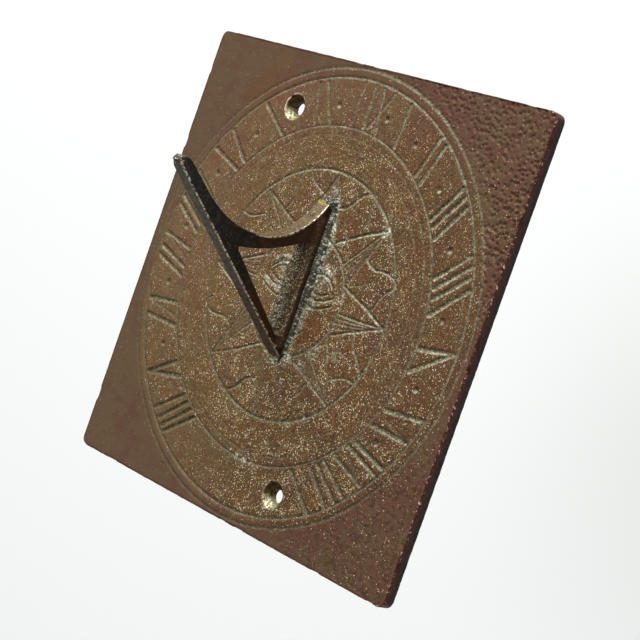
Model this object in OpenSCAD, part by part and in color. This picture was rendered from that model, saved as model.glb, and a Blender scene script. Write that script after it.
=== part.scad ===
// Horizontal garden sundial of cast bronze, in millimetres.
// The plate lies flat with its back on Z = 0, north (the noon side) is +Y and east is +X.

/* [Plate] */
// Width of the plate, west to east
plate_w = 152; // [148:1:170]
// Height of the plate, south to north
plate_h = 150; // [148:1:170]
// Thickness of the plate
plate_t = 4.2; // [3.6:0.1:8]
// Radius of the four corners seen from above
corner_r = 3; // [1.5:0.5:8]
// Rounding of the worn arris round the upper face
arris_r = 0.6; // [0.3:0.1:1]

/* [Dial] */
// Gap between the outermost ring and the nearest edge of the plate
dial_margin = 1.4; // [1.3:0.1:4]
// Width of the plain border outside the numerals
border_w = 3.2; // [2:0.1:4]
// Width of the band that the numerals stand in
numeral_w = 15.8; // [12:0.1:17]
// Width of the narrow band divided into quarter hours
quarter_w = 2.9; // [2:0.1:4]
// Width of the plain band inside the quarter hours
inner_w = 3.4; // [2:0.1:4]
// Radius of the centre medallion
medallion_r = 40.5; // [30:0.5:42]
// Width of a ring groove at the face
groove_w = 1.1; // [0.6:0.1:1.2]
// Depth of a ring groove
groove_d = 0.35; // [0.2:0.05:0.5]
// Width of a half-hour dimple at the face
dot_w = 2.2; // [1:0.1:3]
// Depth of a half-hour dimple
dot_d = 0.45; // [0.2:0.05:0.9]

/* [Screw holes] */
// Hole through the plate, for a 4.2 mm screw
hole_d = 4.6; // [3.5:0.1:5.5]
// Mouth of the countersink
sink_d = 9.1; // [6:0.1:10]
// Distance of each hole from the middle of the dial
hole_r = 63.3; // [62:0.1:65]
// Bearing of the first hole, in degrees clockwise from north
hole_bearing_a = 332.4; // [328:0.1:336]
// Bearing of the second hole, in degrees clockwise from north
hole_bearing_b = 162.1; // [158:0.1:166]

/* [Gnomon] */
// Latitude of the place, which is the slope of the style above the plate
latitude = 53.4; // [52.5:0.1:54.5]
// Distance of the style's foot south of the middle of the dial
foot_south = 20.8; // [20:0.1:22]
// Distance of the toe's end north of the middle of the dial
toe_north = 30.5; // [29:0.1:32]
// Height of the tip above the plate's face
tip_h = 64.3; // [62:0.1:65]
// Radius of the blunt nose behind the tip
nose_r = 3.6; // [3:0.1:4]
// Thickness of the gnomon at the plate
root_t = 5.6; // [4:0.1:7]
// Thickness of the gnomon at its tip
tip_t = 5; // [3:0.1:5.5]
// Height of the rail that lies on the plate
rail_h = 4; // [3:0.1:5]
// Height of the blunt end of the toe
toe_h = 1.6; // [1.5:0.1:2]
// How much less the window's edge slopes than the style, which swells the style's bar upwards
bar_taper = 3.3; // [2:0.1:4]
// Thickness of the style's bar across its root
bar_t = 2.4; // [1.8:0.1:3]
// Rounding of the window's sharp corner at the foot
window_round = 0.9; // [0.5:0.1:1.3]

/* [Solder run] */
// Reach of the run from the gnomon's side onto the plate
run_w = 3.8; // [2:0.1:5]
// Height of the run against the gnomon
run_h = 1.3; // [0.8:0.1:1.4]
// Radius of the lump of solder over the toe's corner
lump_r = 2.7; // [2.2:0.1:3]

/* [Hidden] */
$fn = 96;
ring_a = min(plate_w, plate_h) / 2 - dial_margin;
ring_b = ring_a - border_w;
ring_c = ring_b - numeral_w;
ring_d = ring_c - quarter_w;
ring_e = ring_d - inner_w;
groove_r = (groove_w * groove_w / 4 + groove_d * groove_d) / (2 * groove_d);
// The dimples stand a little inside the middle of the numeral band
dot_inset = 1.2;
dot_ring = (ring_b + ring_c) / 2 - dot_inset;
dot_r = (dot_w * dot_w / 4 + dot_d * dot_d) / (2 * dot_d);
sink_depth = (sink_d - hole_d) / 2;
foot = -foot_south;
// Length of the style from its foot to its tip
style_l = tip_h / sin(latitude);
// The nose's arc is centred this far behind the style, and meets the style at the tip
nose_back = 0.3;
nose_along = style_l - sqrt(nose_r * nose_r - nose_back * nose_back);
// The back's lower arc runs from the toe to the waist, and the upper arc from the waist to the horn
waist_y = 13.85;
waist_z = 26.7;
low_r = 27.4;
high_r = 39;
horn_z = 50.3;
horn_y = waist_y + high_r - sqrt(high_r * high_r - (horn_z - waist_z) * (horn_z - waist_z));
window_slope = latitude - bar_taper;
window_foot_y = foot + rail_h / tan(latitude) + bar_t / sin(latitude);
window_r = 68.2;
window_cy = 76.5;
window_cz = 38;
// The window is drawn up to here, above the highest point that its curved edge leaves open
window_top = 34;
// Distance from the window's sharp corner to where its rounding begins
round_start = window_round / tan(window_slope / 2);
run_south = foot + 2.2;
run_north = toe_north + 1.6;
run_r = (run_w * run_w + run_h * run_h) / (2 * run_h);
// Shares of the run's reach at its south end, along its middle, at its shoulder and where it turns
run_start = 0.45;
run_full = 0.9;
run_shoulder = 0.75;
run_turn = 0.15;
// Where its full reach begins and ends, and where its shoulder is
run_full_south = 1;
run_full_north = 18;
run_shoulder_y = 25;
// Shares of its height at its two ends
run_low_north = 0.3;
run_low_south = 0.4;
// The lump's middle, east of the noon line and above the plate's face
lump_x = 1.8;
lump_z = -0.1;

// Bearing of the shadow's line from its own foot for a time in hours after noon
function hour_line(h) = h > 6 ? 180 - hour_line(12 - h) : atan(sin(latitude) * tan(15 * h));

// Bearing, seen from the dial's middle, of the point where that line meets a ring.
// The line starts at the edge of the gnomon that throws the shadow, half its thickness to one side.
function dial_bearing(h, ring) =
    hour_line(h) + asin((root_t / 2 * cos(hour_line(h)) - foot * sin(hour_line(h))) / ring);

// Side-view place of a point this far along the style and this far behind it
function on_style(along, behind) =
    [foot + along * cos(latitude) + behind * sin(latitude), along * sin(latitude) - behind * cos(latitude)];

// Half of the plate's section, upright, with its upper outer corner rounded
module edge_section(half) {
    square([half, plate_t - arris_r]);
    square([half - arris_r, plate_t]);
    translate([half - arris_r, plate_t - arris_r])
        circle(r = arris_r);
}

// One of the two crossed slabs that make the plate, rounded along its two long edges
module edge_slab(half, long) {
    for (side = [0, 1])
        mirror([side, 0, 0])
            translate([0, long / 2, 0])
                rotate([90, 0, 0])
                    linear_extrude(long)
                        edge_section(half);
}

module plate_blank() {
    edge_slab(plate_w / 2, plate_h - 2 * corner_r);
    rotate(90)
        edge_slab(plate_h / 2, plate_w - 2 * corner_r);
    for (x = [-1, 1], y = [-1, 1])
        translate([x * (plate_w / 2 - corner_r), y * (plate_h / 2 - corner_r), 0])
            rotate_extrude()
                edge_section(corner_r);
}

// Round-bottomed groove on a circle of the dial
module ring_groove(radius) {
    translate([0, 0, plate_t])
        rotate_extrude()
            translate([radius, groove_r - groove_d])
                circle(r = groove_r);
}

module half_hour_dot(bearing) {
    rotate(-bearing)
        translate([0, dot_ring, plate_t + dot_r - dot_d])
            sphere(r = dot_r);
}

// Countersunk hole through the plate
module screw_hole(bearing) {
    rotate(-bearing)
        translate([0, hole_r, 0]) {
            translate([0, 0, -1])
                cylinder(d = hole_d, h = plate_t + 2);
            translate([0, 0, plate_t - sink_depth])
                cylinder(d1 = hole_d, d2 = sink_d, h = sink_depth);
            translate([0, 0, plate_t])
                cylinder(d = sink_d, h = 1);
        }
}

module dial_plate() {
    color([0.46, 0.33, 0.24])
        difference() {
            plate_blank();
            for (radius = [ring_a, ring_b, ring_c, ring_d, ring_e, medallion_r])
                ring_groove(radius);
            // The first screw hole takes the place of the dot at half past ten
            for (h = [0.5:1:6.5])
                half_hour_dot(dial_bearing(h, dot_ring));
            for (h = [0.5, 2.5, 3.5, 4.5, 5.5, 6.5])
                half_hour_dot(-dial_bearing(h, dot_ring));
            screw_hole(hole_bearing_a);
            screw_hole(hole_bearing_b);
        }
}

// Side view of the gnomon, north to the right, without its window
module gnomon_outline() {
    difference() {
        polygon([
            [foot, 0],
            [toe_north, 0],
            [toe_north, waist_z],
            [horn_y, waist_z],
            [horn_y, horn_z],
            on_style(nose_along, nose_r + nose_back),
            on_style(style_l, nose_r + nose_back),
            on_style(style_l, 0),
        ]);
        intersection() {
            translate([waist_y + low_r, waist_z])
                circle(r = low_r, $fn = 180);
            translate([0, toe_h])
                square([toe_north + 1, waist_z]);
        }
        intersection() {
            translate([waist_y + high_r, waist_z])
                circle(r = high_r, $fn = 180);
            translate([0, waist_z])
                square([toe_north + 1, horn_z - waist_z]);
        }
        translate(on_style(nose_along, nose_back))
            rotate(latitude)
                mirror([0, 1])
                    difference() {
                        square(nose_r + 1);
                        circle(r = nose_r);
                    }
    }
}

// Three-cornered window between the style's bar, the curved back and the rail
module gnomon_window() {
    difference() {
        polygon([
            [window_foot_y, rail_h],
            [toe_north, rail_h],
            [toe_north, window_top],
            [window_foot_y + (window_top - rail_h) / tan(window_slope), window_top],
        ]);
        translate([window_cy, window_cz])
            circle(r = window_r, $fn = 240);
        difference() {
            polygon([
                [window_foot_y, rail_h],
                [window_foot_y + round_start, rail_h],
                [window_foot_y + round_start, rail_h + window_round],
                [window_foot_y + round_start * cos(window_slope), rail_h + round_start * sin(window_slope)],
            ]);
            translate([window_foot_y + round_start, rail_h + window_round])
                circle(r = window_round);
        }
    }
}

// The casting's sides lean in towards the tip by this much, so that it leaves its mould
module draft_wedge() {
    rotate([90, 0, 0])
        translate([0, 0, -toe_north - 1])
            linear_extrude(toe_north + foot_south + 2)
                polygon([
                    [-root_t / 2, plate_t],
                    [root_t / 2, plate_t],
                    [tip_t / 2, plate_t + tip_h],
                    [-tip_t / 2, plate_t + tip_h],
                ]);
}

module gnomon() {
    color([0.3, 0.17, 0.1])
        intersection() {
            translate([-root_t, 0, plate_t])
                rotate([90, 0, 90])
                    linear_extrude(2 * root_t)
                        difference() {
                            gnomon_outline();
                            gnomon_window();
                        }
            draft_wedge();
        }
}

// Section of the solder run: flat over the gnomon, and round-backed down to the plate beside it
module run_section() {
    intersection() {
        translate([-root_t, 0])
            square([1.5 * root_t + run_w, run_h]);
        union() {
            translate([-root_t, 0])
                square([1.5 * root_t, run_h]);
            translate([root_t / 2, run_h - run_r])
                circle(r = run_r);
        }
    }
}

// Side view of the solder run, thinned towards both ends
module run_profile() {
    polygon([
        [run_south, 0],
        [run_north, 0],
        [run_north, run_h * run_low_north],
        [toe_north - 1, run_h],
        [run_south + 3, run_h],
        [run_south, run_h * run_low_south],
    ]);
}

// Outline of the solder run on the plate, widest halfway and turned round the toe
module run_outline() {
    polygon([
        [root_t / 2 - 1, run_south],
        [root_t / 2 + run_w * run_start, run_south],
        [root_t / 2 + run_w * run_full, run_full_south],
        [root_t / 2 + run_w * run_full, run_full_north],
        [root_t / 2 + run_w * run_shoulder, run_shoulder_y],
        [root_t / 2 + run_w * run_turn, toe_north + 0.6],
        [0, run_north],
        [-root_t / 3, run_north - 0.4],
        [-root_t / 3, toe_north - 1],
        [root_t / 2 - 1, toe_north - 1],
    ]);
}

// Rounded lump that covers the corner of the toe
module toe_lump() {
    intersection() {
        translate([lump_x, toe_north, plate_t + lump_z])
            sphere(r = lump_r);
        translate([lump_x - lump_r - 1, toe_north - lump_r - 1, plate_t])
            cube(2 * lump_r + 2);
    }
}

// Run of solder along the gnomon's east side and round its toe
module solder_run() {
    color([0.43, 0.42, 0.37])
        difference() {
            union() {
                intersection() {
                    translate([0, run_north + 1, plate_t])
                        rotate([90, 0, 0])
                            linear_extrude(run_north - run_south + 2)
                                run_section();
                    translate([-root_t, 0, plate_t])
                        rotate([90, 0, 90])
                            linear_extrude(3 * root_t)
                                run_profile();
                    translate([0, 0, plate_t])
                        linear_extrude(2 * run_h)
                            run_outline();
                }
                toe_lump();
            }
            gnomon();
        }
}

dial_plate();
gnomon();
solder_run();
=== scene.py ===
import math
import bpy
import bmesh
import numpy as np
from mathutils import Matrix, Vector


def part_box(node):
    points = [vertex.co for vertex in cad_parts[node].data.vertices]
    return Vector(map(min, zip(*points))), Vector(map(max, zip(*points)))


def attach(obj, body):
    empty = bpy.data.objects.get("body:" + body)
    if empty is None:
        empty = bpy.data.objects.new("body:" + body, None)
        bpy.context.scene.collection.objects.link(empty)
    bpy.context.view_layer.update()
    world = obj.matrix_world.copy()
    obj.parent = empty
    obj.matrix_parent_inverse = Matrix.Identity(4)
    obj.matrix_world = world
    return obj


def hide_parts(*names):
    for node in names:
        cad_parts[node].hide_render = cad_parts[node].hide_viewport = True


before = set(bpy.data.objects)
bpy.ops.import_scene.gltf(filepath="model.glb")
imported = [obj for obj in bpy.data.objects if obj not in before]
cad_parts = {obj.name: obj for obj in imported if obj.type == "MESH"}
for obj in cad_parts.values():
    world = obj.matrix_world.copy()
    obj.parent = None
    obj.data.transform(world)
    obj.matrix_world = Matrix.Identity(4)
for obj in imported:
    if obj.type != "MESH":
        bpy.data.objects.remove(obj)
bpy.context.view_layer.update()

mm = 0.001

# plate and dial, in millimetres, as in the solids
plate = {
    "width": 152.0,
    "height": 150.0,
    "thick": 4.2,
    "cornerRadius": 3.0,
    "arris": 0.6,
    "arrisSteps": 3,
    "sideSteps": 6,
    "gridStep": 0.32,
    "sideRough": 0.16,
    "dialRadius": 70.4,   # where the corner field ends and the numeral band begins
    "litFrom": (-0.2, 0.98, 0.0),   # the side from which the light comes, which sets the groove walls' painted highlight and painted shade
}

# radius, width, depth and how much verdigris sits in each ring groove
rings = [
    {"radius": 73.6, "width": 1.4, "depth": 0.22, "green": 0.5},
    {"radius": 70.4, "width": 1.5, "depth": 0.26, "green": 0.75},
    {"radius": 54.6, "width": 1.4, "depth": 0.24, "green": 0.6},
    {"radius": 51.7, "width": 1.0, "depth": 0.15, "green": 0.35},
    {"radius": 48.3, "width": 1.0, "depth": 0.12, "green": 0.3},
    {"radius": 40.5, "width": 1.5, "depth": 0.32, "green": 0.75},
]

# numerals: every leg runs from its top at one bearing to its foot at another, clockwise from north
numerals = {
    "width": 1.95,
    "depth": 0.50,
    "reach": (55.8, 69.2),   # radii of a leg's foot and top, for the legs that name no others
    # each leg: bearings of its top and its foot, then the radii of its foot and its top where they differ
    "legs": {
        "twelve": [(-1.6, -2.3), (2.4, 3.4), (5.7, 9.6, 55.8, 69.0), (10.1, 5.4, 56.0, 69.4)],
        "one": [(16.8, 19.9)],
        "two": [(31.6, 34.1), (34.4, 37.8)],
        "three": [(47.8, 50.9), (50.4, 53.7), (53.0, 57.6)],
        "four": [(65.5, 70.0), (68.3, 73.2), (71.0, 76.4), (74.0, 81.2)],
        "five": [(89.6, 91.8), (89.6, 99.2)],
        "six": [(107.5, 113.4), (114.3, 119.9), (114.3, 115.2, 58.5)],
        "seven": [(123.6, 127.9), (126.2, 130.7), (131.4, 136.8), (131.4, 131.9, 57.0)],
        "eight": [(137.6, 141.4), (140.5, 144.4), (143.6, 147.7), (150.0, 155.4), (150.0, 150.6, 57.0)],
        "morningFour": [(212.9, 207.5), (215.0, 211.0), (217.6, 214.3), (221.0, 217.5)],
        "morningFive": [(232.3, 230.6), (232.3, 225.0)],
        "morningSix": [(249.3, 243.7), (253.9, 251.8), (253.6, 247.1)],
        "morningSeven": [(266.3, 261.4), (269.1, 264.6), (272.9, 271.1), (272.9, 267.4, 56.5)],
        "morningEight": [(281.8, 277.5), (284.4, 280.4), (287.0, 283.2), (292.6, 290.0),
                         (292.6, 286.0, 56.2)],
        "nine": [(308.7, 307.9), (301.1, 303.9), (304.6, 300.3, 56.2)],
        "ten": [(322.1, 326.4), (326.0, 322.0)],
        "eleven": [(341.8, 341.0), (344.6, 347.9), (348.0, 344.4, 56.2)],
    },
    # the thinner or more worn legs, by numeral and place in its list
    "faint": {("twelve", 3): 0.7, ("six", 2): 0.4, ("seven", 3): 0.35, ("seven", 2): 0.75, ("eight", 4): 0.35,
              ("morningSix", 2): 0.5, ("morningSeven", 3): 0.45, ("nine", 2): 0.4, ("ten", 1): 0.45,
              ("eleven", 2): 0.4},
}

halfHours = {
    "radius": 61.3,
    "width": 2.5,
    "depth": 0.75,
    "bearings": [11.4, 26.3, 43.9, 62.5, 82.3, 102.4, 121.6, 238.8, 258.7, 277.1, 297.1, 316.1, 350.7],
}

# worn quarter-hour ticks between the two inner rings
quarterTicks = {
    "inner": 51.9,
    "outer": 54.4,
    "width": 0.8,
    "depth": 0.14,
    "latitude": 53.4,
    "styleFoot": -20.8,
    "styleHalf": 2.8,   # half of the style's thickness
}

screwHoles = {
    "radius": 63.3,
    "bearings": [332.4, 162.1],
    "bore": 2.3,
    "mouth": 4.55,
}

# the sun: one straight ray and one wavy ray, turned through eight steps of 45 degrees
sun = {
    "faceRadius": 19.9,
    "lineWidth": 1.25,
    "lineDepth": 0.42,
    "hatchWidth": 0.9,
    "hatchDepth": 0.2,
    # three strokes of the north-east straight ray, then three of the wavy ray beside it:
    # share of the line's width and depth, verdigris, plan points in millimetres
    "strokes": [
        (1.0, 0.9, [(8.2, 18.6), (13.2, 21.2), (20.5, 24.7), (28.2, 27.6)]),
        (0.8, 0.9, [(14.3, 13.0), (20.0, 18.6), (24.4, 23.4), (28.2, 27.6)]),
        (1.0, 0.9, [(20.0, 8.9), (22.2, 14.6), (25.0, 20.6), (28.2, 27.6)]),
        (0.9, 0.9, [(24.4, 17.4), (26.6, 15.9), (29.0, 15.3), (31.5, 15.6), (34.2, 15.6), (36.8, 14.9),
                    (38.4, 13.7), (39.3, 12.5)]),
        (0.8, 0.8, [(39.3, 12.5), (37.8, 11.3), (36.3, 10.3), (35.0, 8.6), (34.0, 6.6), (32.9, 3.9)]),
        (0.5, 0.5, [(20.7, 8.3), (24.5, 9.1), (27.2, 10.6), (30.2, 12.4)]),
    ],
    "hatch": [
        [(15.6, 12.2), (20.2, 17.2), (25.0, 23.0)],
        [(17.0, 11.4), (21.2, 16.6), (25.6, 22.6)],
        [(18.4, 10.2), (22.0, 15.8), (25.4, 21.4)],
    ],
}

# the sun's face: its east half, which is mirrored
face = {
    "eye": (9.3, 5.4),
    "grooves": [
        [(3.4, 7.2), (5.6, 8.2), (8.6, 8.6), (11.6, 7.9), (14.2, 5.6)],
        [(4.2, 4.4), (6.0, 6.4), (9.0, 7.3), (12.0, 6.3), (13.8, 4.2)],
        [(5.0, 3.6), (7.4, 2.2), (10.4, 2.1), (13.2, 3.4)],
        [(5.2, 1.2), (8.4, 0.1), (12.2, 0.9), (15.8, 2.4)],
        [(5.2, -1.4), (8.4, -2.6), (12.6, -1.6), (16.6, 0.4)],
        [(3.8, -12.6), (6.4, -11.6), (8.6, -9.6)],
    ],
    "width": 0.95,
    "depth": 0.36,
    # raised brow, lids and fold under the eye: height, paleness, plan points in millimetres
    "ridges": [
        (0.40, 1.0, [(3.8, 8.8), (6.4, 9.9), (9.4, 10.2), (12.4, 9.2), (14.8, 6.9)]),
        (0.16, 0.5, [(4.4, 5.6), (6.4, 7.2), (9.2, 7.9), (12.0, 7.0), (14.0, 5.0)]),
        (0.14, 0.3, [(5.2, 4.6), (7.2, 3.3), (10.2, 3.1), (12.8, 4.4)]),
        (0.26, 0.7, [(6.0, -0.4), (9.4, -1.2), (13.4, 0.1), (16.2, 1.6)]),
    ],
    "cheek": (10.2, -8.2),
    "cheekSize": (6.2, 5.4),
}

# where verdigris and wear have spread over the face, mostly as patches of (x, y, size, strength)
stains = {
    "solderEdge": [
        (-4.2, -21.0), (0.0, -22.4), (3.4, -20.6), (4.9, -16.6), (5.4, -12.3), (6.3, -3.9), (6.8, 3.0),
        (6.7, 10.2), (6.4, 17.8), (5.9, 24.2), (3.4, 32.4), (0.6, 34.0),
    ],
    "blotches": [
        (27.4, 31.7, 1.8, 1.0), (25.1, -13.5, 3.0, 0.8), (25.2, 22.0, 2.2, 1.0), (20.6, -4.4, 3.0, 0.5),
        (42.8, -4.4, 2.0, 0.6), (21.7, -23.2, 2.6, 0.6), (28.3, -28.9, 1.8, 0.6),
        (-51.2, 33.2, 2.2, 0.5), (-3.8, -31.5, 1.8, 0.6), (-14.1, -52.4, 2.6, 0.8),
        (-5.3, -54.5, 3.2, 0.8), (0.7, -54.6, 3.0, 0.8), (6.4, -55.6, 3.0, 0.8),
        (-38.5, -55.0, 2.0, 0.4), (-16.7, -6.0, 1.4, 0.6), (9.5, -15.5, 2.4, 0.6),
        (13.6, -16.0, 2.6, 0.6),
    ],
    "worn": [
        (4.0, -29.0, 15.0, 0.75), (-22.0, -22.0, 16.0, 0.25), (-34.0, 12.0, 14.0, 0.15),
        (-20.0, 30.0, 10.0, 0.15), (44.0, -32.0, 10.0, 0.3),
    ],
    "crust": [
        (10.4, 9.6, 4.4, 1.0), (8.4, 5.0, 2.6, 0.9), (6.4, -2.4, 3.6, 0.9), (4.6, 16.0, 2.0, 0.8),
        (-9.0, 7.6, 5.0, 0.6), (-8.0, 1.0, 4.0, 0.6), (27.6, 27.2, 2.6, 1.0), (12.6, 20.2, 2.2, 0.9),
        (5.2, -20.6, 4.2, 0.9), (12.0, -20.4, 3.0, 0.6), (16.4, -14.6, 3.2, 0.7), (19.0, 3.4, 2.6, 0.7),
        (-4.4, -53.6, 1.5, 0.8), (-1.2, -54.3, 1.6, 0.9), (2.4, -54.8, 1.7, 0.8),
        (6.0, -54.6, 1.6, 0.6), (-0.3, -47.6, 1.2, 0.9), (1.2, -44.6, 0.9, 0.5),
        (21.5, -35.2, 1.8, 0.5), (15.5, -38.0, 1.5, 0.5),
    ],
    "ruddy": [
        (11.0, -8.4, 6.6, 1.0), (24.5, 14.8, 4.0, 0.8), (12.4, 24.0, 5.0, 0.6), (9.1, -13.6, 2.2, 1.0),
        (44.0, 24.0, 8.0, 0.5), (52.0, -26.0, 9.0, 0.5), (33.0, 52.0, 8.0, 0.5),
        (-44.0, 60.0, 14.0, 0.5), (30.0, -10.0, 6.0, 0.5),
    ],
}


def onDial(bearing, radius):
    turn = math.radians(bearing)
    return radius * math.sin(turn), radius * math.cos(turn)


def turned(points, bearing):
    turn = math.radians(bearing)
    cosine, sine = math.cos(turn), math.sin(turn)
    return [(x * cosine + y * sine, y * cosine - x * sine) for x, y in points]


def rise(low, high, value):
    # a soft step from 0 at low to 1 at high
    t = np.clip((value - low) / (high - low), 0.0, 1.0)
    return t * t * (3 - 2 * t)


def fall(low, high, value):
    return 1 - rise(low, high, value)


def cloud(x, y, size, seed):
    # smooth seeded unevenness between -1 and 1, with lumps of about the given size
    count = int(200 / size) + 4
    table = np.random.RandomState(seed).rand(count, count) * 2 - 1
    u = (x + 95) / size
    v = (y + 95) / size
    i = np.clip(u.astype(int), 0, count - 2)
    j = np.clip(v.astype(int), 0, count - 2)
    fu = rise(0, 1, u - i)
    fv = rise(0, 1, v - j)
    low = table[i, j] * (1 - fu) + table[i + 1, j] * fu
    high = table[i, j + 1] * (1 - fu) + table[i + 1, j + 1] * fu
    return low * (1 - fv) + high * fv


def pits(x, y, size, seed, share):
    # round-bottomed pits scattered one to a cell, with the given share of cells hit
    count = int(200 / size) + 4
    dice = np.random.RandomState(seed)
    midX = dice.rand(count, count)
    midY = dice.rand(count, count)
    reach = (0.28 + 0.3 * dice.rand(count, count)) * (dice.rand(count, count) < share)
    u = (x + 95) / size
    v = (y + 95) / size
    i = u.astype(int)
    j = v.astype(int)
    depth = np.zeros_like(x)
    for di in (-1, 0, 1):
        for dj in (-1, 0, 1):
            a = np.clip(i + di, 0, count - 1)
            b = np.clip(j + dj, 0, count - 1)
            r = reach[a, b]
            away = np.hypot(u - a - midX[a, b], v - b - midY[a, b])
            depth = np.maximum(depth, np.clip(1 - (away / np.maximum(r, 0.01)) ** 2, 0, 1) * (r > 0))
    return depth


def lineDistance(x, y, points):
    nearest = np.full(x.shape, 1e3)
    for (ax, ay), (bx, by) in zip(points[:-1], points[1:]):
        dx, dy = bx - ax, by - ay
        along = np.clip(((x - ax) * dx + (y - ay) * dy) / (dx * dx + dy * dy), 0, 1)
        nearest = np.minimum(nearest, np.hypot(x - ax - along * dx, y - ay - along * dy))
    return nearest


def patches(x, y, spots, ragged, seed):
    # soft ragged patches, each given as (x, y, size, strength)
    amount = np.zeros_like(x)
    uneven = 0.5 * cloud(x, y, ragged, seed) + 0.25 * cloud(x, y, ragged / 2.3, seed + 1)
    for spotX, spotY, size, strength in spots:
        away = np.hypot(x - spotX, y - spotY) / size + 0.6 * uneven
        amount = np.maximum(amount, strength * fall(0.3, 1.0, away))
    return amount


def quarterLines():
    # the ends of every quarter-hour tick, by the hour-line formula for the style's latitude
    latitude = math.radians(quarterTicks["latitude"])
    lines = []
    for quarter in range(-32, 33):
        hours = quarter / 4
        pastSix = abs(hours) > 6
        base = math.radians(15 * (12 - abs(hours) if pastSix else abs(hours)))
        slope = math.degrees(math.atan2(math.sin(latitude) * math.sin(base), math.cos(base)))
        line = 180 - slope if pastSix else slope
        turn = math.radians(line)
        offset = quarterTicks["styleHalf"] * math.cos(turn) - quarterTicks["styleFoot"] * math.sin(turn)
        ends = []
        for radius in (quarterTicks["inner"], quarterTicks["outer"]):
            bearing = line + math.degrees(math.asin(offset / radius))
            ends.append(onDial(math.copysign(bearing, hours), radius))
        lines.append(ends)
    return lines


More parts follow.
